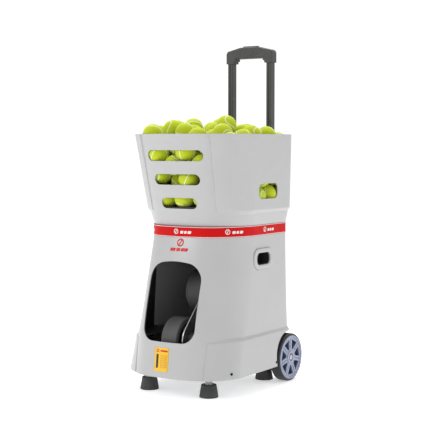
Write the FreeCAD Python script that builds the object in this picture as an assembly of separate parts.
"""Tennis ball machine: hopper, body, two-wheel throwing head, feed rotor, trolley wheels and handle.

Frame: origin on the floor under the centre of the overall box, +Z up, -Y the side that throws the balls,
+X the machine's right-hand side seen from behind. All sizes in millimetres.
"""
import FreeCAD, Part
import math
import os

os.makedirs("parts", exist_ok=True)

# ---------------------------------------------------------------- driving dimensions
WALL = 3.5                   # moulded shell thickness
GAP = 0.4                    # clearance between pieces that only sit beside each other
RUN = 0.05                   # radial running clearance of a shaft in its bush
MOVE = 1.0                   # clearance between pieces that move past each other

BASE_Z = 60.0                # underside of the body
LEDGE_LOW_Z = 172.0          # outer edge of the ledge on top of the skirt
LEDGE_HIGH_Z = 181.0         # where the ledge meets the body
NECK_Z = 495.0               # underside of the coloured band
BAND_TALL = 34.0
HOPPER_Z = NECK_Z + BAND_TALL
PANEL_LOW_Z = 565.0          # where the hopper's side panels start to stand out
PANEL_HIGH_Z = 579.0
RIM_Z = 820.0
REAR_Y = 209.0               # back of the body

FRONT_HALF = 97.0            # half width of the flat part of the front
REAR_CORNER = 38.0

MOUTH_HALF = 97.0            # ball opening in the front
MOUTH_LOW = 171.0
MOUTH_HIGH = 420.0
MOUTH_TOP_R = 58.0
MOUTH_LOW_R = 42.0
MOUTH_CROWN = 10.0           # slope, in degrees, where the corner runs into the low crown

SLOT_TALL = 34.0             # the three windows in the hopper's front
SLOTS = ((752.0, 105.0), (677.0, 86.0), (602.0, 67.0))
WINDOW_TALL = 49.0           # window in each side of the hopper
WINDOW_Y = (-18.0, 99.0)
WINDOW_Z = 637.5

GRIP_Y = 34.5                # carrying recess in each side of the body
GRIP_Z = 419.5
GRIP_OUT_LONG, GRIP_OUT_TALL = 118.0, 68.0
GRIP_IN_LONG, GRIP_IN_TALL = 82.0, 38.0
GRIP_DEEP = 38.0

TYRE_R = 79.0                # transport wheels
RIM_R = 72.0
WHEEL_WIDE = 37.0
WHEEL_OUT_X = 205.0
WHEEL_Y = 175.5
AXLE_R = 6.0
SPOKES = 7
WELL_GAP = 9.0

FOOT_X = 114.5
FOOT_Y = (-185.5, 151.5)
FOOT_LOW_R, FOOT_TOP_R, FOOT_TALL = 30.5, 24.0, 40.0
STUD_R = 5.0

BALL_R = 33.0                # standard tennis ball
THROW_R = 70.0               # throwing wheels
THROW_WIDE = 58.0
HUB_R = 56.0
THROW_GAP = 2 * BALL_R - 9.0 # gap between the treads, less than a ball
NIP_Y, NIP_Z = -103.0, 241.0 # point midway between the throwing wheels, the tilt axis
TILT_REST = 44.0             # elevation of the throw at rest, degrees
SHAFT_R = 6.0
PLATE_X, PLATE_T = 42.0, 4.0
PLATE_R = 58.0
MOTOR_R, MOTOR_LONG = 32.0, 46.0

YAW_Y = 76.5                 # vertical axis on which the throwing head swings
PLATFORM_Z, PLATFORM_T = 72.0, 5.0
UPRIGHT_X, UPRIGHT_T = 56.0, 6.0
MODULE = 1.5
PINION_TEETH = 16
YAW_TEETH = 80
TILT_TEETH = 96
TUBE_R = BALL_R + 6.0        # ball drop tube, inside radius
CHUTE_BEND = 80.0            # radius of the ball path through the chute

FEED_Y = 4.5                 # centre of the feed rotor
FEED_Z, FEED_T = 551.0, 24.0
PADDLES = 5
PADDLE_T = 9.0
POCKET_PITCH_R = YAW_Y - FEED_Y
FEED_R = POCKET_PITCH_R + BALL_R + 11.0
FEED_HUB_R = POCKET_PITCH_R - BALL_R - 4.5

HANDLE_X = 77.0              # telescopic handle
HANDLE_Y = REAR_Y + 43.5
INNER_W, INNER_D, TUBE_T = 20.0, 28.0, 2.0
OUTER_W, OUTER_D = INNER_W + 2 * GAP + 4.2, INNER_D + 2 * GAP + 4.2
OUTER_LOW, OUTER_HIGH = 190.0, 700.0
GRIP_LOW = 1065.0
GRIP_BAR_LOW, GRIP_BAR_HIGH = 1081.0, 1110.0
GRIP_CROWN = 1120.0
GRIP_HALF, GRIP_D = 92.5, 33.0
HANDLE_TRAVEL = 250.0

# ---------------------------------------------------------------- carrying recesses, base plate and liner
GRIP_FACE_X = 177.5          # plane in which the carrying recess is set
BEZEL_T = 6.0
CUP_WALL = 2.5
PLATE_Z = BASE_Z + 0.5
PLATE_THICK = 4.0
FLOOR = PLATE_Z + PLATE_THICK      # top of the base plate, on which the works stand
LINER_T = 2.0
LINER_FLOOR_Z = 184.0
SCREW_PLACES = ((-176.0, 78.0), (84.0, 76.0))      # Y and Z of the screws through each side of the skirt
SCREW_HEAD_R = 4.0
SCREW_HEAD_T = 2.0
SCREW_SINK = 1.0             # depth to which a head sits in its counterbore

# ---------------------------------------------------------------- feed
TRAY_T = 3.5
WELL_R = FEED_R + MOVE
WELL_FLOOR = FEED_Z - 2.0
TRAY_LIP = FEED_Z + FEED_T + 1.0
TRAY_REACH = 290.0
APRON_RISE = 34.0
APRON_SECTORS = 12
FLOOR_SECTORS = 10
FEED_SHAFT_R = 5.0
FEED_MOTOR_R = 28.0
FEED_MOTOR_LOW = 503.0
FEED_MOTOR_HIGH = WELL_FLOOR - TRAY_T
DROP_LOW = 420.0
CHUTE_IN = BALL_R + 3.0      # half pipe below the drop tube
CHUTE_OUT = CHUTE_IN + 2.5
CHUTE_Z = 250.0
CHUTE_TURN = 118.0           # degrees
CHUTE_HIGH = DROP_LOW - 6.0

# ---------------------------------------------------------------- throwing head
REACH = THROW_R + THROW_GAP / 2
SIN_E = math.sin(math.radians(TILT_REST))
COS_E = math.cos(math.radians(TILT_REST))
UPPER = (NIP_Y + REACH * SIN_E, NIP_Z + REACH * COS_E)
LOWER = (NIP_Y - REACH * SIN_E, NIP_Z - REACH * COS_E)
HUB_HOLES = 5
HUB_HOLE_R = 9.0
HUB_HOLE_PITCH_R = 33.0
PIN_R = 8.0
MOTOR_X = PLATE_X + PLATE_T
SHAFT_NOSE = 8.0
SHAFT_IN_MOTOR = 24.0
BACKLASH = 0.35
SECTOR_T = 5.0
SECTOR_IN = 44.0
YAW_PINION_Y = YAW_Y + MODULE * (YAW_TEETH + PINION_TEETH) / 2
TILT_CENTRES = MODULE * (TILT_TEETH + PINION_TEETH) / 2
TILT_PINION = (NIP_Y + TILT_CENTRES * COS_E, NIP_Z - TILT_CENTRES * SIN_E)
SMALL_SHAFT_R = 3.0
SMALL_MOTOR_R = 18.5
SMALL_MOTOR_LONG = 44.0
YAW_BRACKET_Z = 90.0
YAW_POST_R = 20.0

# ---------------------------------------------------------------- transport wheels
RIM_FACE_T = 13.0
POCKET_IN_R, POCKET_OUT_R = 28.0, 60.0
AXLE_IN_X = 122.0

# ---------------------------------------------------------------- handle
INNER_LOW = OUTER_LOW + HANDLE_TRAVEL + 12.0
COLLAR_TALL = 16.0
SADDLE_Z = (216.0, 452.0)
SADDLE_TALL = 32.0
SOCKET_HALF = 15.5
SOCKET_DEEP = 22.0
BUTTON_LONG, BUTTON_DEEP, BUTTON_TRAVEL = 60.0, 17.0, 4.0
BUTTON_LOW = GRIP_BAR_LOW + 14.0
BUTTON_HIGH = GRIP_CROWN + 4.0

# ---------------------------------------------------------------- rear panel and electrics
PANEL_W, PANEL_TALL, PANEL_T = 100.0, 76.0, 3.0
PANEL_Z = 360.0
PANEL_FACE = REAR_Y + PANEL_T
ROCKER_X, INLET_X = -26.0, 26.0
ROCKER_W, ROCKER_TALL = 20.0, 28.0
ROCKER_PIN_R = 1.5
ROCKER_PIN_Y = REAR_Y - 2.0
INLET_R = 9.0
INLET_WALL = 3.6
BATTERY_X, BATTERY_Y, BATTERY_TALL = (-162.0, -92.0), (-48.0, 78.0), 95.0
STRAP_Y, STRAP_T = (5.0, 25.0), 1.5
CONTROL_X, CONTROL_Y, CONTROL_TALL = (116.0, 160.0), (-8.0, 74.0), 90.0

V = FreeCAD.Vector


# ---------------------------------------------------------------- small shapes
def box(x0, x1, y0, y1, z0, z1):
    return Part.makeBox(x1 - x0, y1 - y0, z1 - z0, V(x0, y0, z0))


def rod(r, length, start, direction):
    return Part.makeCylinder(r, length, V(*start), V(*direction))


def ring(r_out, r_in, length, start, direction):
    return rod(r_out, length, start, direction).cut(rod(r_in, length, start, direction))


def fuse(shapes):
    return shapes[0].fuse(list(shapes[1:])).removeSplitter() if len(shapes) > 1 else shapes[0]


def rounded_bar(long, tall, r, centre, depth, normal):
    """Plate with round corners: long by tall, extruded by depth along normal ('x', 'y' or 'z')."""
    a, b = long / 2 - r, tall / 2 - r
    plate = Part.makeBox(2 * a, 2 * b, depth, V(-a, -b, 0)) if a > 0.01 and b > 0.01 else None
    pieces = [plate] if plate else []
    if a > 0.01:
        pieces.append(Part.makeBox(2 * a, tall, depth, V(-a, -tall / 2, 0)))
    if b > 0.01:
        pieces.append(Part.makeBox(long, 2 * b, depth, V(-long / 2, -b, 0)))
    for sx in (-1, 1):
        for sy in (-1, 1):
            pieces.append(Part.makeCylinder(r, depth, V(sx * a, sy * b, 0)))
    bar = fuse(pieces)
    if normal == "x":      # long side along Y, depth along +X
        bar.rotate(V(0, 0, 0), V(0, 1, 0), 90)
        bar.rotate(V(0, 0, 0), V(1, 0, 0), 90)
    if normal == "y":      # long side along X, depth along +Y
        bar.rotate(V(0, 0, 0), V(1, 0, 0), -90)
    bar.translate(V(*centre))
    return bar


def save(name, shape):
    shape.exportStep("parts/" + name + ".step")


def mirrored(shape):
    return shape.mirror(V(0, 0, 0), V(1, 0, 0))


# ---------------------------------------------------------------- outline of the body at one height
def outline(z, half, front, shoulder, side_y, inset=0.0):
    """Closed plan outline: bowed front, blended corners, straight sides, rounded rear corners."""
    half -= inset
    front += inset
    shoulder += inset
    flat = FRONT_HALF - inset * 0.5
    rear = REAR_Y - inset
    corner = REAR_CORNER - inset
    bow = shoulder - front
    bow_r = (flat * flat + bow * bow) / (2 * bow)
    turn = math.asin(0.78 * flat / bow_r)
    start = V(bow_r * math.sin(turn), front + bow_r * (1 - math.cos(turn)), z)
    across = half - flat
    along = side_y - shoulder
    side_r = (across * across + along * along) / (2 * across)
    first = math.radians(50)
    middle = math.radians(70)
    centre_x = half - side_r
    blend_end = V(centre_x + side_r * math.sin(first), side_y - side_r * math.cos(first), z)
    arc_mid = V(centre_x + side_r * math.sin(middle), side_y - side_r * math.cos(middle), z)
    edges = []
    left_start = V(-start.x, start.y, z)
    edges.append(Part.Arc(left_start, V(0, front, z), start).toShape())
    blend = Part.BSplineCurve()
    blend.interpolate(Points=[start, blend_end],
                      InitialTangent=V(math.cos(turn), math.sin(turn), 0) * 60,
                      FinalTangent=V(math.cos(first), math.sin(first), 0) * 60)
    edges.append(blend.toShape())
    side_low = V(half, side_y, z)
    edges.append(Part.Arc(blend_end, arc_mid, side_low).toShape())
    side_high = V(half, rear - corner, z)
    edges.append(Part.LineSegment(side_low, side_high).toShape())
    diagonal = corner * math.sqrt(0.5)
    rear_mid = V(half - corner + diagonal, rear - corner + diagonal, z)
    rear_start = V(half - corner, rear, z)
    edges.append(Part.Arc(side_high, rear_mid, rear_start).toShape())
    edges.append(Part.LineSegment(rear_start, V(-rear_start.x, rear, z)).toShape())
    mirror = [e.mirror(V(0, 0, 0), V(1, 0, 0)) for e in edges[1:5]]
    return Part.Wire(Part.__sortEdges__(edges + mirror))


def panel_outline(z, half, start_x, start_y, side_y, inset=0.0):
    """Closed plan outline of the raised side panels; its straight front lies inside the wall."""
    half -= inset
    start_x -= inset * 0.6
    start_y += inset * 0.8
    rear = REAR_Y + 2.0 - inset
    corner = REAR_CORNER + 2.0 - inset
    across = half - start_x
    along = side_y - start_y
    side_r = (across * across + along * along) / (2 * across)
    first = math.asin((start_x - half + side_r) / side_r)
    middle = (first + math.pi / 2) / 2
    centre_x = half - side_r
    start = V(start_x, start_y, z)
    inner = V(start_x - 7.0, start_y + 6.0, z)
    arc_mid = V(centre_x + side_r * math.sin(middle), side_y - side_r * math.cos(middle), z)
    side_low = V(half, side_y, z)
    side_high = V(half, rear - corner, z)
    diagonal = corner * math.sqrt(0.5)
    rear_mid = V(half - corner + diagonal, rear - corner + diagonal, z)
    rear_start = V(half - corner, rear, z)
    right = [
        Part.LineSegment(inner, start).toShape(),
        Part.Arc(start, arc_mid, side_low).toShape(),
        Part.LineSegment(side_low, side_high).toShape(),
        Part.Arc(side_high, rear_mid, rear_start).toShape(),
    ]
    mirror = [e.mirror(V(0, 0, 0), V(1, 0, 0)) for e in right]
    front = Part.LineSegment(V(-inner.x, inner.y, z), inner).toShape()
    rear_line = Part.LineSegment(rear_start, V(-rear_start.x, rear, z)).toShape()
    return Part.Wire(Part.__sortEdges__([front, rear_line] + right + mirror))


# Levels: height, half width, front at the centre, front at FRONT_HALF, where the corner meets the side
BODY_LEVELS = (
    (BASE_Z, 194.0, -269.0, -258.5, -110.0),
    (120.0, 190.5, -263.0, -252.0, -100.0),
    (LEDGE_HIGH_Z, 187.0, -256.0, -244.5, -89.0),
    (240.0, 184.5, -248.5, -235.5, -60.0),
    (330.0, 181.5, -227.0, -213.5, -35.0),
    (420.0, 179.0, -203.0, -188.5, -16.0),
    (NECK_Z, 178.0, -181.0, -166.0, -9.5),
)
NECK_LEVEL = (178.0, -181.0, -166.0, -9.5)
SKIRT_LEVELS = (      # height, half width, panel corner x and y, where the corner meets the side
    (BASE_Z, 200.5, 128.5, -239.0, -133.0),
    (BASE_Z + 3.0, 203.0, 131.0, -241.5, -133.0),
    (LEDGE_LOW_Z, 193.5, 133.0, -221.5, -103.0),
    (LEDGE_HIGH_Z, 186.5, 128.0, -214.0, -103.0),
)
HOPPER_LEVELS = (
    (HOPPER_Z + 1.0, 177.5, -173.0, -158.0, -9.5),
    (HOPPER_Z + 4.0, 179.5, -174.5, -159.5, -9.5),
    (PANEL_LOW_Z, 187.0, -180.0, -165.0, -24.5),
    (RIM_Z, 190.0, -230.0, -220.5, -100.0),
)
PANEL_LEVELS = (
    (PANEL_LOW_Z, 185.5, 116.0, -149.0, -35.0),
    (PANEL_HIGH_Z, 194.0, 124.0, -155.5, -41.0),
    (RIM_Z, 199.5, 134.0, -208.5, -110.0),
)


def body_loft(levels, inset=0.0, ruled=False):
    wires = [outline(z, half, front, shoulder, side_y, inset) for z, half, front, shoulder, side_y in levels]
    return Part.makeLoft(wires, True, ruled)


def panel_loft(levels, inset=0.0):
    wires = [panel_outline(z, half, x, y, side_y, inset) for z, half, x, y, side_y in levels]
    return Part.makeLoft(wires, True, True)


def side_pair(shape):
    """A piece on the right and its twin on the left."""
    return {"right": shape, "left": mirrored(shape)}


def polygon_yz(points, x0, thick):
    """Flat plate in a Y-Z plane, from x0 to x0 + thick."""
    corners = [V(x0, y, z) for y, z in points]
    return Part.Face(Part.makePolygon(corners + [corners[0]])).extrude(V(thick, 0, 0))


# ---------------------------------------------------------------- body shell
def wheel_well(extra):
    """Space round one transport wheel, grown by extra."""
    inner_x = WHEEL_OUT_X - WHEEL_WIDE - 4.0 - extra
    return rod(TYRE_R + WELL_GAP + extra, 80.0, (inner_x, WHEEL_Y, TYRE_R), (1, 0, 0))


def mouth_shoulder(grow):
    """Height where the straight sides of the ball opening meet its top corners, and the crown's radius."""
    slope = math.radians(MOUTH_CROWN)
    crown_half = MOUTH_HALF - MOUTH_TOP_R + (MOUTH_TOP_R + grow) * math.sin(slope)
    crown_r = crown_half / math.sin(slope)
    drop = (MOUTH_TOP_R + grow) * math.cos(slope) + crown_r * (1 - math.cos(slope))
    return MOUTH_HIGH + grow - drop, crown_half


def mouth_cutter(grow, y0, y1):
    """Tall opening: straight sides, round lower corners, large upper corners and a low crown."""
    half = MOUTH_HALF + grow
    low = MOUTH_LOW - grow
    high = MOUTH_HIGH + grow
    r = MOUTH_TOP_R + grow
    shoulder_z, crown_half = mouth_shoulder(grow)
    centre_x = half - r
    body = box(-half, half, y0, y1, low, shoulder_z)
    low_edges = [e for e in body.Edges if abs(e.BoundBox.ZMax - low) < 0.01 and e.BoundBox.YLength > 1]
    body = body.makeFillet(MOUTH_LOW_R, low_edges)
    middle = math.radians((90.0 - MOUTH_CROWN) / 2)
    crown_z = shoulder_z + r * math.cos(math.radians(MOUTH_CROWN))
    mid_x = centre_x + r * math.cos(middle)
    mid_z = shoulder_z + r * math.sin(middle)
    edges = [
        Part.LineSegment(V(-half, y0, shoulder_z), V(half, y0, shoulder_z)).toShape(),
        Part.Arc(V(half, y0, shoulder_z), V(mid_x, y0, mid_z), V(crown_half, y0, crown_z)).toShape(),
        Part.Arc(V(crown_half, y0, crown_z), V(0, y0, high), V(-crown_half, y0, crown_z)).toShape(),
        Part.Arc(V(-crown_half, y0, crown_z), V(-mid_x, y0, mid_z), V(-half, y0, shoulder_z)).toShape(),
    ]
    dome = Part.Face(Part.Wire(Part.__sortEdges__(edges))).extrude(V(0, y1 - y0, 0))
    return body.fuse(dome).removeSplitter()


def grip_opening(grow):
    return rounded_bar(GRIP_IN_LONG + 2 * grow, GRIP_IN_TALL + 2 * grow, GRIP_IN_TALL / 2 - 3 + grow,
                       (GRIP_FACE_X - GRIP_DEEP - grow, GRIP_Y, GRIP_Z), GRIP_DEEP + 30.0, "x")


def body_shell():
    outer = body_loft(BODY_LEVELS).fuse(panel_loft(SKIRT_LEVELS))
    cavity = body_loft(BODY_LEVELS, WALL).fuse(panel_loft(SKIRT_LEVELS, WALL))
    for well in side_pair(wheel_well(WALL)).values():
        cavity = cavity.cut(well)
    shell = outer.cut(cavity)
    for well in side_pair(wheel_well(0.0)).values():
        shell = shell.cut(well)
    axle_hole = rod(AXLE_R + 1.0, 2 * WHEEL_OUT_X, (-WHEEL_OUT_X, WHEEL_Y, TYRE_R), (1, 0, 0))
    cuts = [axle_hole, mouth_cutter(0.0, -300.0, -150.0)]
    seat = rounded_bar(GRIP_OUT_LONG + 2 * GAP, GRIP_OUT_TALL + 2 * GAP, GRIP_OUT_TALL / 2 - 6 + GAP,
                       (GRIP_FACE_X, GRIP_Y, GRIP_Z), 20.0, "x")
    for cutter in (grip_opening(CUP_WALL + GAP), seat):
        cuts.extend(side_pair(cutter).values())
    cuts.extend(panel_holes())
    cuts.append(skirt_screws())
    return sections(shell.cut(cuts), body_joints())


def sheet(axis, at, first, second):
    """Rectangle across an axis; first and second are its spans along the other two axes in X, Y, Z order."""
    corners = []
    for a, b in ((0, 0), (1, 0), (1, 1), (0, 1)):
        place = [first[a], second[b]]
        place.insert("xyz".index(axis), at)
        corners.append(V(*place))
    return Part.Face(Part.makePolygon(corners + [corners[0]]))


def sections(solid, sheets):
    """The solid divided along sheets into sections that meet face to face."""
    return Part.makeCompound(solid.Solids[0].generalFuse(sheets)[1][0])


def body_joints():
    """Joint planes of the moulded sections: ledge, mouth's sides and head, corners, round the recesses."""
    far = 320.0
    ledge_z = LEDGE_HIGH_Z + 3.0
    low_z = MOUTH_LOW + MOUTH_LOW_R + 1.0
    shoulder_z, crown_half = mouth_shoulder(0.0)
    jamb = MOUTH_HALF - 13.0
    front_y = -60.0
    rear_y = REAR_Y - REAR_CORNER - 20.0
    rear_x = 140.0
    hole_y = GRIP_OUT_LONG / 2 + 2.0
    hole_z = GRIP_OUT_TALL / 2 + 2.0
    joints = [sheet("z", ledge_z, (-far, far), (-far, far))]
    for side in (-1, 1):
        corner_x = sorted((side * jamb, side * far))
        side_x = sorted((side * 100.0, side * far))
        joints.append(sheet("x", side * jamb, (-far, front_y), (0, far * 2)))
        joints.append(sheet("x", side * crown_half, (-far, front_y), (shoulder_z, far * 2)))
        joints.append(sheet("y", front_y, side_x, (0, far * 2)))
        joints.append(sheet("y", rear_y, side_x, (0, far * 2)))
        joints.append(sheet("x", side * rear_x, (rear_y, far), (0, far * 2)))
        for z in (low_z, shoulder_z):
            joints.append(sheet("z", z, corner_x, (-far, front_y)))
        for y in (GRIP_Y - hole_y, GRIP_Y + hole_y):
            joints.append(sheet("y", y, side_x, (ledge_z, far * 2)))
        for z in (GRIP_Z - hole_z, GRIP_Z + hole_z):
            joints.append(sheet("z", z, side_x, (GRIP_Y - hole_y, GRIP_Y + hole_y)))
        joints.append(sheet("y", GRIP_Y, side_x, (GRIP_Z - hole_z, GRIP_Z + hole_z)))
    return joints


def base_plate():
    inset = WALL + GAP
    room = body_loft(BODY_LEVELS, inset).fuse(panel_loft(SKIRT_LEVELS, inset))
    plate = room.common(box(-230, 230, -300, 230, PLATE_Z, PLATE_Z + PLATE_THICK))
    for well in side_pair(wheel_well(WALL + GAP)).values():
        plate = plate.cut(well)
    for x, y in foot_places():
        plate = plate.cut(rod(STUD_R + GAP, 20.0, (x, y, PLATE_Z - 5.0), (0, 0, 1)))
    return plate


def neck_band():
    proud = 0.7
    bottom = outline(NECK_Z, *NECK_LEVEL, inset=-proud)
    top = outline(HOPPER_Z, *NECK_LEVEL, inset=-proud)
    bottom_in = outline(NECK_Z, *NECK_LEVEL, inset=WALL)
    top_in = outline(HOPPER_Z, *NECK_LEVEL, inset=WALL)
    return Part.makeLoft([bottom, top], True, True).cut(Part.makeLoft([bottom_in, top_in], True, True))


# ---------------------------------------------------------------- hopper
def hopper_room(inset):
    return body_loft(HOPPER_LEVELS, inset, ruled=True).fuse(panel_loft(PANEL_LEVELS, inset))


def hopper_shell():
    foot = [(HOPPER_Z,) + HOPPER_LEVELS[0][1:], HOPPER_LEVELS[0]]
    outer = hopper_room(0.0).fuse(body_loft(foot, 0.0, ruled=True))
    inner = hopper_room(WALL).fuse(body_loft(foot, WALL, ruled=True))
    shell = outer.cut(inner)
    cuts = []
    for z, half in SLOTS:
        cuts.append(rounded_bar(2 * half, SLOT_TALL, SLOT_TALL / 2 - 0.01, (0, -290.0, z), 170.0, "y"))
    long = WINDOW_Y[1] - WINDOW_Y[0]
    cuts.append(rounded_bar(long, WINDOW_TALL, WINDOW_TALL / 2 - 6.0,
                            (-230.0, sum(WINDOW_Y) / 2, WINDOW_Z), 460.0, "x"))
    return shell.cut(cuts)


def sectors(profile, count, centre_y):
    """Ring swept from a closed (radius, height) profile in equal sectors that meet face to face."""
    corners = [V(r, centre_y, z) for r, z in profile]
    face = Part.Face(Part.makePolygon(corners + [corners[0]]))
    ring_part = face.revolve(V(0, centre_y, 0), V(0, 0, 1), 360.0 / count)
    pieces = []
    for i in range(count):
        piece = ring_part.copy()
        piece.rotate(V(0, centre_y, 0), V(0, 0, 1), 360.0 * i / count)
        pieces.append(piece)
    return pieces


def hopper_tray():
    """Dished floor of the hopper: conical apron in sectors round a flat-bottomed well for the feed rotor."""
    under = WELL_FLOOR - TRAY_T
    profile = [
        (WELL_R, WELL_FLOOR), (WELL_R + TRAY_T, WELL_FLOOR), (WELL_R + TRAY_T, TRAY_LIP - TRAY_T),
        (TRAY_REACH, TRAY_LIP - TRAY_T + APRON_RISE), (TRAY_REACH, TRAY_LIP + APRON_RISE), (WELL_R, TRAY_LIP),
    ]
    room = hopper_room(WALL + GAP)
    pieces = [sector.common(room) for sector in sectors(profile, APRON_SECTORS, FEED_Y)]
    disc = ring(WELL_R + TRAY_T, FEED_SHAFT_R + MOVE, TRAY_T, (0, FEED_Y, under), (0, 0, 1))
    ray = [(TUBE_R, under), (TRAY_REACH, under), (TRAY_REACH, WELL_FLOOR), (TUBE_R, WELL_FLOOR)]
    pieces += [sector.common(disc) for sector in sectors(ray, FLOOR_SECTORS, YAW_Y)]
    return Part.makeCompound([solid for piece in pieces for solid in piece.Solids])


def feed_rotor():
    """Hub with straight paddles; the balls ride in the gaps between them."""
    hub = rod(FEED_HUB_R, FEED_T, (0, FEED_Y, FEED_Z), (0, 0, 1))
    rim = rod(FEED_R, FEED_T, (0, FEED_Y, FEED_Z), (0, 0, 1))
    paddles = []
    for i in range(PADDLES):
        blade = Part.makeBox(FEED_R + 5.0, PADDLE_T, FEED_T, V(0, -PADDLE_T / 2, FEED_Z))
        blade.rotate(V(0, 0, 0), V(0, 0, 1), 90 + 360.0 * (i + 0.5) / PADDLES)
        blade.translate(V(0, FEED_Y, 0))
        paddles.append(blade.common(rim))
    rotor = fuse([hub] + paddles)
    return rotor.cut(rod(FEED_SHAFT_R, FEED_T + 4, (0, FEED_Y, FEED_Z - 2), (0, 0, 1)))


def feed_cap():
    """Domed cap that holds the rotor on its shaft and turns balls off the centre."""
    low = FEED_Z + FEED_T
    cap = Part.makeCone(24.0, 9.0, 20.0, V(0, FEED_Y, low), V(0, 0, 1))
    top = [e for e in cap.Edges if abs(e.BoundBox.ZMin - low - 20.0) < 0.01]
    return cap.makeFillet(6.0, top)


def feed_motor():
    body = rod(FEED_MOTOR_R, FEED_MOTOR_HIGH - FEED_MOTOR_LOW, (0, FEED_Y, FEED_MOTOR_LOW), (0, 0, 1))
    tail = rod(18.0, 34.0, (0, FEED_Y, FEED_MOTOR_LOW - 34.0), (0, 0, 1))
    bore = rod(FEED_SHAFT_R + RUN, 40.0, (0, FEED_Y, FEED_MOTOR_LOW + 12.0), (0, 0, 1))
    return body.fuse(tail).cut(bore)


def feed_shaft():
    low = FEED_MOTOR_LOW + 14.0
    return rod(FEED_SHAFT_R, FEED_Z + FEED_T - low, (0, FEED_Y, low), (0, 0, 1))


def drop_tube():
    high = WELL_FLOOR - TRAY_T
    return ring(TUBE_R + 2.0, TUBE_R, high - DROP_LOW, (0, YAW_Y, DROP_LOW), (0, 0, 1))


# ---------------------------------------------------------------- ball opening liner and carrying recesses


def mouth_liner():
    """Dark skin behind the front wall."""
    outside = body_loft(BODY_LEVELS, WALL + GAP)
    inside = body_loft(BODY_LEVELS, WALL + GAP + LINER_T)
    zone = box(-230, 230, -300, -70, 150.0, 450.0)
    skin = outside.cut(inside).common(zone)
    return skin.cut(mouth_cutter(1.0, -300.0, -150.0))


def liner_floor():
    """Floor strip beside the lower throwing wheel, let into the liner."""
    room = body_loft(BODY_LEVELS, WALL + GAP + LINER_T)
    return room.common(box(-230, -78.0, -300, -70, LINER_FLOOR_Z, LINER_FLOOR_Z + LINER_T))


def grip_bezel():
    """Raised ring round the carrying recess."""
    centre = (GRIP_FACE_X, GRIP_Y, GRIP_Z)
    plate = rounded_bar(GRIP_OUT_LONG, GRIP_OUT_TALL, GRIP_OUT_TALL / 2 - 6, centre, BEZEL_T, "x")
    hole = rounded_bar(GRIP_IN_LONG, GRIP_IN_TALL, GRIP_IN_TALL / 2 - 3,
                       (GRIP_FACE_X - 5.0, GRIP_Y, GRIP_Z), BEZEL_T + 10.0, "x")
    bezel = plate.cut(hole).removeSplitter()
    face = [e for e in bezel.Edges if abs(e.BoundBox.XMin - GRIP_FACE_X - BEZEL_T) < 0.01]
    return bezel.makeFillet(4.0, face)


def grip_cup():
    """Blind pocket for the fingers behind the bezel."""
    corner = GRIP_IN_TALL / 2 - 3 + CUP_WALL
    outer = rounded_bar(GRIP_IN_LONG + 2 * CUP_WALL, GRIP_IN_TALL + 2 * CUP_WALL, corner,
                        (GRIP_FACE_X - GRIP_DEEP - CUP_WALL, GRIP_Y, GRIP_Z), GRIP_DEEP + CUP_WALL, "x")
    inner = rounded_bar(GRIP_IN_LONG, GRIP_IN_TALL, GRIP_IN_TALL / 2 - 3,
                        (GRIP_FACE_X - GRIP_DEEP, GRIP_Y, GRIP_Z), GRIP_DEEP + 10.0, "x")
    return outer.cut(inner)


# ---------------------------------------------------------------- throwing head


def throw_tread(centre):
    y, z = centre
    tread = ring(THROW_R, HUB_R, THROW_WIDE, (-THROW_WIDE / 2, y, z), (1, 0, 0))
    outer_edges = [e for e in tread.Edges if e.Length > 2 * math.pi * (THROW_R - 1)]
    return tread.makeFillet(3.0, outer_edges)


def throw_hub(centre):
    """Spoked hub: rim, web with five lightening holes and a boss on the shaft."""
    y, z = centre
    start = (-THROW_WIDE / 2, y, z)
    hub = rod(HUB_R, THROW_WIDE, start, (1, 0, 0))
    rim_in = HUB_R - 5.0
    for x in (-THROW_WIDE / 2 - 1, 6.0):
        pocket = ring(rim_in, 16.0, THROW_WIDE / 2 - 5.0, (x, y, z), (1, 0, 0))
        hub = hub.cut(pocket)
    start_x = -THROW_WIDE / 2 - 2
    through = THROW_WIDE + 4
    holes = [rod(SHAFT_R, through, (start_x, y, z), (1, 0, 0))]
    for index in range(HUB_HOLES):
        turn = 2 * math.pi * index / HUB_HOLES
        centre = (start_x, y + HUB_HOLE_PITCH_R * math.cos(turn), z + HUB_HOLE_PITCH_R * math.sin(turn))
        holes.append(rod(HUB_HOLE_R, through, centre, (1, 0, 0)))
    return hub.cut(holes)


def throw_shaft(centre):
    """Motor shaft with the nut that holds the wheel."""
    y, z = centre
    low = -THROW_WIDE / 2 - SHAFT_NOSE
    shaft = rod(SHAFT_R, MOTOR_X + SHAFT_IN_MOTOR - low, (low, y, z), (1, 0, 0))
    nut = rod(11.0, 5.0, (-THROW_WIDE / 2 - 5.0, y, z), (1, 0, 0))
    return shaft.fuse(nut)


def throw_motor(centre):
    y, z = centre
    can = rod(MOTOR_R, MOTOR_LONG, (MOTOR_X, y, z), (1, 0, 0))
    rear = [e for e in can.Edges if abs(e.BoundBox.XMin - MOTOR_X - MOTOR_LONG) < 0.01]
    can = can.makeFillet(4.0, rear)
    return can.cut(rod(SHAFT_R + RUN, SHAFT_IN_MOTOR + 2.0, (MOTOR_X, y, z), (1, 0, 0)))


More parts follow.
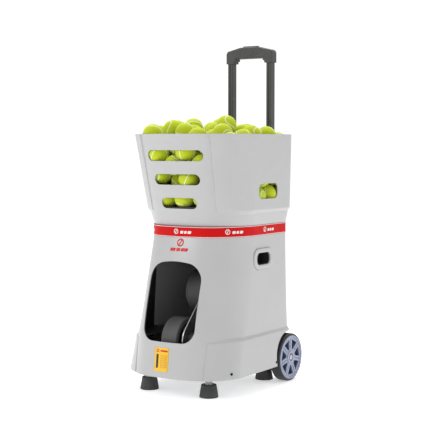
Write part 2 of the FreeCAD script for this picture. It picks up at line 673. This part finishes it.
def head_plate():
    """Stadium-shaped plate that carries both motors, turning on the tilt pin."""
    link = Part.makeBox(PLATE_T, 2 * PLATE_R, 2 * REACH, V(0, -PLATE_R, -REACH))
    link.rotate(V(0, 0, 0), V(1, 0, 0), -TILT_REST)
    link.translate(V(PLATE_X, NIP_Y, NIP_Z))
    ends = [rod(PLATE_R, PLATE_T, (PLATE_X, c[0], c[1]), (1, 0, 0)) for c in (UPPER, LOWER)]
    plate = fuse([link] + ends)
    holes = [rod(SHAFT_R + 4.0, PLATE_T + 4, (PLATE_X - 2, c[0], c[1]), (1, 0, 0)) for c in (UPPER, LOWER)]
    holes.append(rod(PIN_R, PLATE_T + 4, (PLATE_X - 2, NIP_Y, NIP_Z), (1, 0, 0)))
    return plate.cut(holes)


def tilt_pin():
    """Headed pin with a spacer between head plate and upright."""
    pin = rod(PIN_R, UPRIGHT_X + UPRIGHT_T + 6.0 - PLATE_X, (PLATE_X, NIP_Y, NIP_Z), (1, 0, 0))
    spacer = rod(15.0, UPRIGHT_X - GAP - MOTOR_X, (MOTOR_X, NIP_Y, NIP_Z), (1, 0, 0))
    clip = rod(13.0, 3.0, (UPRIGHT_X + UPRIGHT_T + GAP, NIP_Y, NIP_Z), (1, 0, 0))
    return fuse([pin, spacer, clip])


# ---------------------------------------------------------------- gears
def tooth_wheel(teeth, thick, backlash):
    """Involute spur gear in the X-Y plane with one tooth centred on +X, thinned by backlash."""
    pitch = MODULE * teeth / 2
    base = pitch * math.cos(math.radians(20))
    tip = pitch + MODULE * 0.9
    root = pitch - MODULE * 1.3
    half = math.pi / (2 * teeth) - backlash / (2 * pitch)
    at_pitch = math.tan(math.radians(20)) - math.radians(20)
    points = []
    for i in range(teeth):
        middle = 2 * math.pi * i / teeth
        flank = []
        for step in range(5):
            r = max(base, root) + (tip - max(base, root)) * step / 4
            lean = math.acos(min(1.0, base / r))
            flank.append((r, half + at_pitch - (math.tan(lean) - lean)))
        low_angle = flank[0][1]
        for r, a in [(root, low_angle)] + flank:
            points.append(V(r * math.cos(middle - a), r * math.sin(middle - a), 0))
        for r, a in reversed([(root, low_angle)] + flank):
            points.append(V(r * math.cos(middle + a), r * math.sin(middle + a), 0))
    return Part.Face(Part.makePolygon(points + [points[0]])).extrude(V(0, 0, thick))


def wedge(radius, half_angle, thick):
    """Pie piece about +X, used to keep one sector of a gear."""
    a = math.radians(half_angle)
    reach = radius / math.cos(a)
    corners = [V(0, 0, 0), V(reach * math.cos(a), -reach * math.sin(a), 0),
               V(reach * math.cos(a), reach * math.sin(a), 0)]
    return Part.Face(Part.makePolygon(corners + [corners[0]])).extrude(V(0, 0, thick))


def yaw_sector():
    gear = tooth_wheel(YAW_TEETH, SECTOR_T, BACKLASH)
    gear = gear.common(wedge(90.0, 32.0, SECTOR_T)).cut(rod(SECTOR_IN, SECTOR_T, (0, 0, 0), (0, 0, 1)))
    gear.rotate(V(0, 0, 0), V(0, 0, 1), 90)
    gear.translate(V(0, YAW_Y, PLATFORM_Z + PLATFORM_T))
    return gear


def pinion(thick, bore):
    """Pinion with a tooth space centred on -X, so that it meshes with a tooth centred on +X."""
    gear = tooth_wheel(PINION_TEETH, thick, BACKLASH)
    gear.rotate(V(0, 0, 0), V(0, 0, 1), 180.0 / PINION_TEETH)
    return gear.cut(rod(bore, thick, (0, 0, 0), (0, 0, 1)))


def yaw_pinion():
    gear = pinion(SECTOR_T + 2.0, SMALL_SHAFT_R)
    gear.rotate(V(0, 0, 0), V(0, 0, 1), 90)
    gear.translate(V(0, YAW_PINION_Y, PLATFORM_Z + PLATFORM_T - 1.0))
    shaft = rod(SMALL_SHAFT_R, YAW_BRACKET_Z + 18.0 - (PLATFORM_Z + PLATFORM_T - 1.0),
                (0, YAW_PINION_Y, PLATFORM_Z + PLATFORM_T - 1.0), (0, 0, 1))
    return gear.fuse(shaft)


def yaw_motor():
    low = YAW_BRACKET_Z + 3.0
    can = rod(SMALL_MOTOR_R, SMALL_MOTOR_LONG, (0, YAW_PINION_Y, low), (0, 0, 1))
    return can.cut(rod(SMALL_SHAFT_R + RUN, 17.0, (0, YAW_PINION_Y, low), (0, 0, 1)))


def yaw_bracket():
    """Bridge over the sector that holds the swing motor."""
    deck = box(-34, 34, YAW_PINION_Y - 16, YAW_PINION_Y + 26, YAW_BRACKET_Z, YAW_BRACKET_Z + 3)
    legs = [box(x, x + 3, YAW_PINION_Y - 4, YAW_PINION_Y + 26, FLOOR, YAW_BRACKET_Z + 3) for x in (-34, 31)]
    feet = [box(x0, x0 + 12, YAW_PINION_Y - 4, YAW_PINION_Y + 26, FLOOR, FLOOR + 3) for x0 in (-46, 34)]
    shaft_hole = rod(SMALL_SHAFT_R + 2, 10, (0, YAW_PINION_Y, YAW_BRACKET_Z - 3), (0, 0, 1))
    return fuse([deck] + legs + feet).cut(shaft_hole)


def yaw_post():
    """Fixed centre post with a wide flange that the platform slides on."""
    post = rod(YAW_POST_R, PLATFORM_Z + PLATFORM_T + 4 - FLOOR, (0, YAW_Y, FLOOR), (0, 0, 1))
    flange = rod(42.0, PLATFORM_Z - FLOOR - 0.05, (0, YAW_Y, FLOOR), (0, 0, 1))
    return post.fuse(flange)


def yaw_platform():
    disc = rod(56.0, PLATFORM_T, (0, YAW_Y, PLATFORM_Z), (0, 0, 1))
    tongue = box(-44, UPRIGHT_X + UPRIGHT_T + 6, NIP_Y + 2, YAW_Y, PLATFORM_Z, PLATFORM_Z + PLATFORM_T)
    plate = disc.fuse(tongue).removeSplitter()
    return plate.cut(rod(YAW_POST_R + RUN, 20, (0, YAW_Y, PLATFORM_Z - 5), (0, 0, 1)))


def upright():
    top = PLATFORM_Z + PLATFORM_T
    sheet = polygon_yz([(NIP_Y - 18, NIP_Z + 16), (NIP_Y + 38, NIP_Z + 20), (NIP_Y + 142, top), (NIP_Y + 6, top)],
                       UPRIGHT_X, UPRIGHT_T)
    foot = box(UPRIGHT_X, UPRIGHT_X + 14, NIP_Y + 6, NIP_Y + 142, top, top + 4)
    holes = [rod(PIN_R + RUN, 30, (UPRIGHT_X - 5, NIP_Y, NIP_Z), (1, 0, 0)),
             rod(SMALL_SHAFT_R + 2, 30, (UPRIGHT_X - 5,) + TILT_PINION, (1, 0, 0))]
    return sheet.fuse(foot).removeSplitter().cut(holes)


def to_yz(shape, x0, centre, turn):
    """Lay a gear made in X-Y into the Y-Z plane at x0, its +X pointing along turn degrees below +Y."""
    shape.rotate(V(0, 0, 0), V(1, 0, 0), 90)
    shape.rotate(V(0, 0, 0), V(0, 0, 1), 90)
    shape.rotate(V(0, 0, 0), V(1, 0, 0), -turn)
    shape.translate(V(x0, centre[0], centre[1]))
    return shape


def tilt_sector():
    gear = tooth_wheel(TILT_TEETH, SECTOR_T, BACKLASH)
    gear = gear.common(wedge(100.0, 24.0, SECTOR_T)).fuse(rod(24.0, SECTOR_T, (0, 0, 0), (0, 0, 1)))
    gear = gear.cut(rod(15.0, SECTOR_T, (0, 0, 0), (0, 0, 1)))
    return to_yz(gear, MOTOR_X, (NIP_Y, NIP_Z), TILT_REST)


def tilt_pinion():
    gear = pinion(SECTOR_T + 1.0, SMALL_SHAFT_R)
    gear = gear.fuse(rod(SMALL_SHAFT_R, UPRIGHT_X + UPRIGHT_T + 16.0 - MOTOR_X - GAP, (0, 0, 0), (0, 0, 1)))
    return to_yz(gear, MOTOR_X + GAP, TILT_PINION, TILT_REST)


def tilt_motor():
    x0 = UPRIGHT_X + UPRIGHT_T
    can = rod(SMALL_MOTOR_R, SMALL_MOTOR_LONG - 2.0, (x0,) + TILT_PINION, (1, 0, 0))
    return can.cut(rod(SMALL_SHAFT_R + RUN, 18.0, (x0,) + TILT_PINION, (1, 0, 0)))


# ---------------------------------------------------------------- ball chute on the swinging platform


def half_ring(r_out, r_in):
    """Rear half of a ring in the plane z = CHUTE_Z, centred on the swing axis."""
    c = V(0, YAW_Y, CHUTE_Z)
    edges = [
        Part.Arc(c + V(r_out, 0, 0), c + V(0, r_out, 0), c + V(-r_out, 0, 0)).toShape(),
        Part.LineSegment(c + V(-r_out, 0, 0), c + V(-r_in, 0, 0)).toShape(),
        Part.Arc(c + V(-r_in, 0, 0), c + V(0, r_in, 0), c + V(r_in, 0, 0)).toShape(),
        Part.LineSegment(c + V(r_in, 0, 0), c + V(r_out, 0, 0)).toShape(),
    ]
    return Part.Face(Part.Wire(Part.__sortEdges__(edges)))


def chute_bend(r_out, r_in):
    return half_ring(r_out, r_in).revolve(V(0, YAW_Y - CHUTE_BEND, CHUTE_Z), V(-1, 0, 0), CHUTE_TURN)


def ball_chute():
    """Half pipe that turns forward, with its column and foot block moulded on."""
    straight = half_ring(CHUTE_OUT, CHUTE_IN).extrude(V(0, 0, CHUTE_HIGH - CHUTE_Z))
    return fuse([straight, chute_bend(CHUTE_OUT, CHUTE_IN), chute_post()])


def chute_post():
    """Column behind the half pipe and block under its bend."""
    top = PLATFORM_Z + PLATFORM_T
    solid = rod(CHUTE_OUT, CHUTE_HIGH - CHUTE_Z, (0, YAW_Y, CHUTE_Z), (0, 0, 1))
    ball_path = chute_bend(CHUTE_OUT, 0.5)
    column = box(-11, 11, YAW_Y + CHUTE_OUT - 8, YAW_Y + CHUTE_OUT + 5, top + SECTOR_T + 1.0, CHUTE_HIGH - 20)
    block = box(-14, 14, YAW_Y - CHUTE_BEND - 22, YAW_Y - CHUTE_BEND + 26, top, CHUTE_Z - 96)
    shoe = box(-11, 11, YAW_Y + 24, YAW_Y + CHUTE_OUT + 5, top, top + SECTOR_T + 1.0)
    shoe = shoe.cut(ring(200, SECTOR_IN - 0.5, 60, (0, YAW_Y, top - 10), (0, 0, 1)))
    brace = box(-11, 11, YAW_Y + 24, YAW_Y + CHUTE_OUT + 5, top + SECTOR_T + 1.0, top + SECTOR_T + 7.0)
    return fuse([column, brace, shoe, block]).cut([solid, ball_path])


# ---------------------------------------------------------------- transport wheels
def tyre():
    x0 = WHEEL_OUT_X - WHEEL_WIDE + 1.0
    width = WHEEL_WIDE - 2.0
    tread = ring(TYRE_R, RIM_R - 3.0, width, (x0, WHEEL_Y, TYRE_R), (1, 0, 0))
    outer = [e for e in tread.Edges if e.Length > 2 * math.pi * (TYRE_R - 1)]
    return tread.makeFillet(5.0, outer)


def rim():
    """Rim barrel, and a thick face with seven pockets between grooved spokes."""
    x_out = WHEEL_OUT_X
    x_in = WHEEL_OUT_X - WHEEL_WIDE
    barrel = rod(RIM_R - 3.0, WHEEL_WIDE, (x_in, WHEEL_Y, TYRE_R), (1, 0, 0))
    lips = [rod(RIM_R, 1.0, (x, WHEEL_Y, TYRE_R), (1, 0, 0)) for x in (x_in, x_out - 1.0)]
    body = fuse([barrel] + lips)
    hollow = ring(RIM_R - 7.0, 20.0, WHEEL_WIDE - RIM_FACE_T - 3.0, (x_in, WHEEL_Y, TYRE_R), (1, 0, 0))
    dish = ring(RIM_R - 6.0, 22.0, 3.0, (x_out - 2.0, WHEEL_Y, TYRE_R), (1, 0, 0))
    cuts = [hollow, dish]
    for i in range(SPOKES):
        middle = 2 * math.pi * (i + 0.25) / SPOKES
        corners = []
        for r, sign in ((POCKET_IN_R, -1), (POCKET_OUT_R, -1), (POCKET_OUT_R, 1), (POCKET_IN_R, 1)):
            spread = math.pi / SPOKES - math.asin(8.5 / r)
            a = middle + sign * spread
            corners.append(V(x_out - RIM_FACE_T + 1.0, WHEEL_Y + r * math.cos(a), TYRE_R + r * math.sin(a)))
        pocket = Part.Face(Part.makePolygon(corners + [corners[0]])).extrude(V(RIM_FACE_T + 2, 0, 0))
        upright_edges = [e for e in pocket.Edges if e.BoundBox.XLength > RIM_FACE_T]
        cuts.append(pocket.makeFillet(2.4, upright_edges))
        spoke = middle + math.pi / SPOKES
        groove = Part.makeBox(4.0, 30.0, 2.6, V(x_out - 4.0, 30.0, -1.3))
        groove.rotate(V(0, 0, 0), V(1, 0, 0), math.degrees(spoke))
        groove.translate(V(0, WHEEL_Y, TYRE_R))
        cuts.append(groove)
    cuts.append(rod(AXLE_R + RUN, WHEEL_WIDE + 10, (x_in - 5, WHEEL_Y, TYRE_R), (1, 0, 0)))
    cuts.append(rod(13.0, 8.0, (x_out - 4.0, WHEEL_Y, TYRE_R), (1, 0, 0)))
    return body.cut(cuts)


def hub_cap():
    """Pressed metal cap over the axle's end."""
    cap = rod(9.0, 5.0, (WHEEL_OUT_X - 4.0, WHEEL_Y, TYRE_R), (1, 0, 0))
    face = [e for e in cap.Edges if abs(e.BoundBox.XMin - WHEEL_OUT_X - 1.0) < 0.01]
    cap = cap.makeFillet(2.5, face)
    return cap.cut(rod(AXLE_R, 2.0, (WHEEL_OUT_X - 4.0, WHEEL_Y, TYRE_R), (1, 0, 0)))


def axle():
    collar_x = WHEEL_OUT_X - WHEEL_WIDE - 3.0
    shaft = rod(AXLE_R, WHEEL_OUT_X - 2.0 - AXLE_IN_X, (AXLE_IN_X, WHEEL_Y, TYRE_R), (1, 0, 0))
    collar = rod(11.0, 2.6, (collar_x, WHEEL_Y, TYRE_R), (1, 0, 0))
    return shaft.fuse(collar)


def axle_bracket():
    """Folded bracket on the base plate, holding the axle in two cheeks."""
    cheeks = [box(x, x + 5, WHEEL_Y - 25, WHEEL_Y + 25, FLOOR, TYRE_R + 18) for x in (124, 150)]
    deck = box(124, 155, WHEEL_Y - 25, WHEEL_Y + 25, FLOOR, FLOOR + 4)
    return fuse(cheeks + [deck]).cut(rod(AXLE_R, 60, (110, WHEEL_Y, TYRE_R), (1, 0, 0)))


# ---------------------------------------------------------------- feet
def foot_places():
    return [(x, y) for x in (-FOOT_X, FOOT_X) for y in FOOT_Y]


def foot_pads():
    pads = []
    for x, y in foot_places():
        pad = Part.makeCone(FOOT_LOW_R, FOOT_TOP_R, FOOT_TALL, V(x, y, 0), V(0, 0, 1))
        pad = pad.makeFillet(2.0, [e for e in pad.Edges if e.BoundBox.ZLength < 0.01])
        pads.append(pad.cut(rod(STUD_R, 30.0, (x, y, 12.0), (0, 0, 1))))
    return Part.makeCompound(pads)


def foot_studs():
    """Threaded studs with a collar under the base plate and a lock nut above it."""
    studs = []
    for x, y in foot_places():
        stud = rod(STUD_R, FLOOR + 16.0 - 12.0, (x, y, 12.0), (0, 0, 1))
        collar = rod(12.0, PLATE_Z - FOOT_TALL, (x, y, FOOT_TALL), (0, 0, 1))
        nut = rod(9.0, 7.0, (x, y, FLOOR), (0, 0, 1))
        studs.append(fuse([stud, collar, nut]))
    return Part.makeCompound(studs)


# ---------------------------------------------------------------- telescopic handle
def tube(width, depth, r, hole_w, hole_d, low, high):
    """Rectangular tube with round corners, standing at HANDLE_X."""
    outer = rounded_bar(width, depth, r, (HANDLE_X, HANDLE_Y, low), high - low, "z")
    inner = rounded_bar(hole_w, hole_d, max(r - 2.0, 1.0), (HANDLE_X, HANDLE_Y, low - 1), high - low + 2, "z")
    return outer.cut(inner)


def outer_tubes():
    one = tube(OUTER_W, OUTER_D, 5.0, INNER_W + 2 * GAP, INNER_D + 2 * GAP, OUTER_LOW, OUTER_HIGH)
    return Part.makeCompound([one, mirrored(one)])


def inner_tubes():
    one = tube(INNER_W, INNER_D, 4.0, INNER_W - 2 * TUBE_T, INNER_D - 2 * TUBE_T, INNER_LOW, GRIP_LOW + SOCKET_DEEP)
    return Part.makeCompound([one, mirrored(one)])


def tube_collars():
    """Moulded mouthpieces on top of the outer tubes."""
    bore_w = INNER_W + 2 * GAP
    bore_d = INNER_D + 2 * GAP
    one = tube(OUTER_W + 6.0, OUTER_D, 6.0, bore_w, bore_d, OUTER_HIGH, OUTER_HIGH + COLLAR_TALL)
    return Part.makeCompound([one, mirrored(one)])


def handle_saddles():
    """Blocks on the back of the body that carry the outer tubes."""
    blocks = []
    for z in SADDLE_Z:
        for side in (-1, 1):
            x = side * HANDLE_X
            block = box(x - 20, x + 20, REAR_Y, HANDLE_Y + 8, z, z + SADDLE_TALL)
            channel = box(x - OUTER_W / 2, x + OUTER_W / 2, HANDLE_Y - OUTER_D / 2, HANDLE_Y + 40, z - 1,
                          z + SADDLE_TALL + 1)
            blocks.append(block.cut(channel))
    return Part.makeCompound(blocks)


def grip_handle():
    """Bar with two sockets; its top rises to a low crown at the button."""
    y0 = HANDLE_Y - GRIP_D / 2
    corner = 14.0
    inner_x = HANDLE_X - SOCKET_HALF
    half = GRIP_HALF
    mid = corner * (1 - math.sqrt(0.5))
    right = [
        Part.LineSegment(V(0, y0, GRIP_BAR_LOW), V(inner_x - 6, y0, GRIP_BAR_LOW)).toShape(),
        Part.LineSegment(V(inner_x - 6, y0, GRIP_BAR_LOW), V(inner_x - 6, y0, GRIP_BAR_LOW - 8)).toShape(),
        Part.LineSegment(V(inner_x - 6, y0, GRIP_BAR_LOW - 8), V(inner_x, y0, GRIP_BAR_LOW - 8)).toShape(),
        Part.LineSegment(V(inner_x, y0, GRIP_BAR_LOW - 8), V(inner_x, y0, GRIP_LOW)).toShape(),
        Part.LineSegment(V(inner_x, y0, GRIP_LOW), V(half, y0, GRIP_LOW)).toShape(),
        Part.LineSegment(V(half, y0, GRIP_LOW), V(half, y0, GRIP_BAR_HIGH - corner)).toShape(),
        Part.Arc(V(half, y0, GRIP_BAR_HIGH - corner), V(half - mid, y0, GRIP_BAR_HIGH - mid),
                 V(half - corner, y0, GRIP_BAR_HIGH)).toShape(),
        Part.LineSegment(V(half - corner, y0, GRIP_BAR_HIGH), V(36.0, y0, GRIP_CROWN)).toShape(),
        Part.LineSegment(V(36.0, y0, GRIP_CROWN), V(0, y0, GRIP_CROWN)).toShape(),
    ]
    left = [e.mirror(V(0, 0, 0), V(1, 0, 0)) for e in right]
    face = Part.Face(Part.Wire(Part.__sortEdges__(right + left)))
    bar = face.extrude(V(0, GRIP_D, 0))
    long_edges = [e for e in bar.Edges
                  if e.BoundBox.YLength < 0.01 and e.BoundBox.ZMin > GRIP_BAR_LOW - 1 and e.BoundBox.XLength > 1]
    bar = bar.makeFillet(5.0, long_edges)
    cuts = []
    for side in (-1, 1):
        cuts.append(rounded_bar(INNER_W, INNER_D, 4.0, (side * HANDLE_X, HANDLE_Y, GRIP_LOW - 1),
                                SOCKET_DEEP + 1.0, "z"))
    cuts.append(rounded_bar(BUTTON_LONG + 2 * 0.5, BUTTON_DEEP + 2 * 0.5, BUTTON_DEEP / 2 - 2,
                            (0, HANDLE_Y, BUTTON_LOW - BUTTON_TRAVEL - 1), 60.0, "z"))
    return bar.cut(cuts)


def release_button():
    key = rounded_bar(BUTTON_LONG, BUTTON_DEEP, BUTTON_DEEP / 2 - 2.5, (0, HANDLE_Y, BUTTON_LOW),
                      BUTTON_HIGH - BUTTON_LOW, "z")
    top = [e for e in key.Edges if abs(e.BoundBox.ZMin - BUTTON_HIGH) < 0.01]
    return key.makeFillet(2.5, top)


# ---------------------------------------------------------------- rear panel and electrics
def panel_holes():
    """Clearance in the back wall for the switch's housing and the socket's sleeve."""
    half_w = ROCKER_W / 2 + 2.0
    half_tall = ROCKER_TALL / 2 + 2.0
    across = (ROCKER_X - half_w, ROCKER_X + half_w)
    return [
        box(*across, REAR_Y - 20, REAR_Y + 10, PANEL_Z - half_tall, PANEL_Z + half_tall),
        rod(INLET_R + INLET_WALL + 1.4, 30.0, (INLET_X, REAR_Y - 20, PANEL_Z), (0, 1, 0)),
    ]


def rear_panel():
    plate = rounded_bar(PANEL_W, PANEL_TALL, 6.0, (0, REAR_Y, PANEL_Z), PANEL_T, "y")
    window = box(ROCKER_X - ROCKER_W / 2 - 1, ROCKER_X + ROCKER_W / 2 + 1, REAR_Y - 5, REAR_Y + 10,
                 PANEL_Z - ROCKER_TALL / 2 - 1, PANEL_Z + ROCKER_TALL / 2 + 1)
    return plate.cut([window, rod(INLET_R + 4.0, 20.0, (INLET_X, REAR_Y - 5, PANEL_Z), (0, 1, 0))])


def switch_housing():
    """Box behind the panel that holds the rocker on its pin."""
    half_w = ROCKER_W / 2 + 0.5
    half_tall = ROCKER_TALL / 2
    outer = box(ROCKER_X - half_w - 1.0, ROCKER_X + half_w + 1.0, REAR_Y - 18, REAR_Y,
                PANEL_Z - half_tall - 1.5, PANEL_Z + half_tall + 1.5)
    inner = box(ROCKER_X - half_w, ROCKER_X + half_w, REAR_Y - 15, REAR_Y + 5,
                PANEL_Z - half_tall, PANEL_Z + half_tall)
    pin = rod(ROCKER_PIN_R, ROCKER_W + 1.0, (ROCKER_X - ROCKER_W / 2 - 0.5, ROCKER_PIN_Y, PANEL_Z), (1, 0, 0))
    return outer.cut(inner).fuse(pin)


def power_rocker():
    """Rocker key with two faces sloping down from its middle."""
    tall = ROCKER_TALL / 2 - 1.0
    points = [(REAR_Y - 8, PANEL_Z - tall + 3), (REAR_Y - 8, PANEL_Z + tall - 3), (REAR_Y + 4.4, PANEL_Z + tall),
              (REAR_Y + 2.6, PANEL_Z), (REAR_Y + 4.4, PANEL_Z - tall)]
    key = polygon_yz(points, ROCKER_X - ROCKER_W / 2, ROCKER_W)
    bore_start = (ROCKER_X - ROCKER_W / 2 - 2, ROCKER_PIN_Y, PANEL_Z)
    bore = rod(ROCKER_PIN_R + RUN, ROCKER_W + 4, bore_start, (1, 0, 0))
    return key.cut(bore)


def charge_inlet():
    """Round charging socket: flanged sleeve with a blind end."""
    sleeve = ring(INLET_R + INLET_WALL, INLET_R, 18.0, (INLET_X, REAR_Y - 12, PANEL_Z), (0, 1, 0))
    flange = ring(INLET_R + 7.0, INLET_R, 1.6, (INLET_X, PANEL_FACE, PANEL_Z), (0, 1, 0))
    end = rod(INLET_R + INLET_WALL, 2.0, (INLET_X, REAR_Y - 14, PANEL_Z), (0, 1, 0))
    short = sleeve.cut(box(INLET_X - 20, INLET_X + 20, PANEL_FACE, PANEL_FACE + 20, PANEL_Z - 20, PANEL_Z + 20))
    return fuse([short, flange, end])


def battery():
    """Closed case of the storage battery."""
    block = box(*BATTERY_X, *BATTERY_Y, FLOOR, FLOOR + BATTERY_TALL)
    return block.makeFillet(4.0, [e for e in block.Edges if e.BoundBox.ZLength > 50])


def battery_strap():
    """Steel strap bolted down over the battery."""
    low_x, high_x = BATTERY_X
    inner = box(low_x, high_x, *STRAP_Y, FLOOR, FLOOR + BATTERY_TALL)
    outer = box(low_x - STRAP_T, high_x + STRAP_T, *STRAP_Y, FLOOR, FLOOR + BATTERY_TALL + STRAP_T)
    tab = box(high_x + STRAP_T, high_x + STRAP_T + 14.5, *STRAP_Y, FLOOR, FLOOR + STRAP_T)
    return outer.fuse(tab).cut(inner)


def control_box():
    """Closed case for the control board and radio receiver."""
    case = box(*CONTROL_X, *CONTROL_Y, FLOOR, FLOOR + CONTROL_TALL)
    return case.makeFillet(4.0, [e for e in case.Edges if e.BoundBox.ZLength > 50])


def skirt_seat(skirt, y, z):
    """Where a level line across the body meets the skirt's outside."""
    line = Part.makeLine(V(0, y, z), V(WHEEL_OUT_X * 2, y, z))
    return max((vertex.Point for vertex in line.common(skirt).Vertexes), key=lambda point: point.x)


def skirt_screws():
    """Self-tapping screws through the skirt, low on both sides, with their heads flat on its face."""
    skirt = panel_loft(SKIRT_LEVELS)
    heads = []
    for y, z in SCREW_PLACES:
        seat = skirt_seat(skirt, y, z)
        along = skirt_seat(skirt, y + SCREW_HEAD_R, z) - seat
        up = skirt_seat(skirt, y, z + SCREW_HEAD_R) - seat
        normal = along.cross(up).normalize()
        head = Part.makeCylinder(SCREW_HEAD_R, SCREW_SINK + SCREW_HEAD_T, seat - normal * SCREW_SINK, normal)
        heads.extend((head, mirrored(head)))
    return Part.makeCompound(heads)


PARTS = {
    "body_shell": body_shell, "base_plate": base_plate, "neck_band": neck_band, "hopper_shell": hopper_shell,
    "hopper_tray": hopper_tray, "feed_rotor": feed_rotor, "feed_cap": feed_cap, "feed_motor": feed_motor,
    "feed_shaft": feed_shaft, "drop_tube": drop_tube, "mouth_liner": mouth_liner, "head_plate": head_plate,
    "tilt_pin": tilt_pin, "tilt_sector": tilt_sector, "tilt_pinion": tilt_pinion, "tilt_motor": tilt_motor,
    "upright": upright, "yaw_platform": yaw_platform, "yaw_post": yaw_post, "yaw_sector": yaw_sector,
    "yaw_pinion": yaw_pinion, "yaw_motor": yaw_motor, "yaw_bracket": yaw_bracket, "ball_chute": ball_chute,
    "liner_floor": liner_floor, "foot_pads": foot_pads, "foot_studs": foot_studs, "outer_tubes": outer_tubes,
    "inner_tubes": inner_tubes, "tube_collars": tube_collars, "handle_saddles": handle_saddles,
    "grip_handle": grip_handle, "release_button": release_button, "rear_panel": rear_panel,
    "switch_housing": switch_housing, "power_rocker": power_rocker, "charge_inlet": charge_inlet,
    "battery": battery, "battery_strap": battery_strap, "control_box": control_box,
    "skirt_screws": skirt_screws,
}
SIDE_PARTS = {"tyre": tyre, "rim": rim, "grip_bezel": grip_bezel, "grip_cup": grip_cup}
PAIRS = {"hub_caps": hub_cap, "axles": axle, "axle_brackets": axle_bracket}
THROW_PARTS = {"tread": throw_tread, "hub": throw_hub, "shaft": throw_shaft, "motor": throw_motor}

for name, make in PARTS.items():
    save(name, make())
for name, make in SIDE_PARTS.items():
    for side, shape in side_pair(make()).items():
        save(name + "_" + side, shape)
for name, make in PAIRS.items():
    save(name, Part.makeCompound(list(side_pair(make()).values())))
for name, make in THROW_PARTS.items():
    save("upper_" + name, make(UPPER))
    save("lower_" + name, make(LOWER))
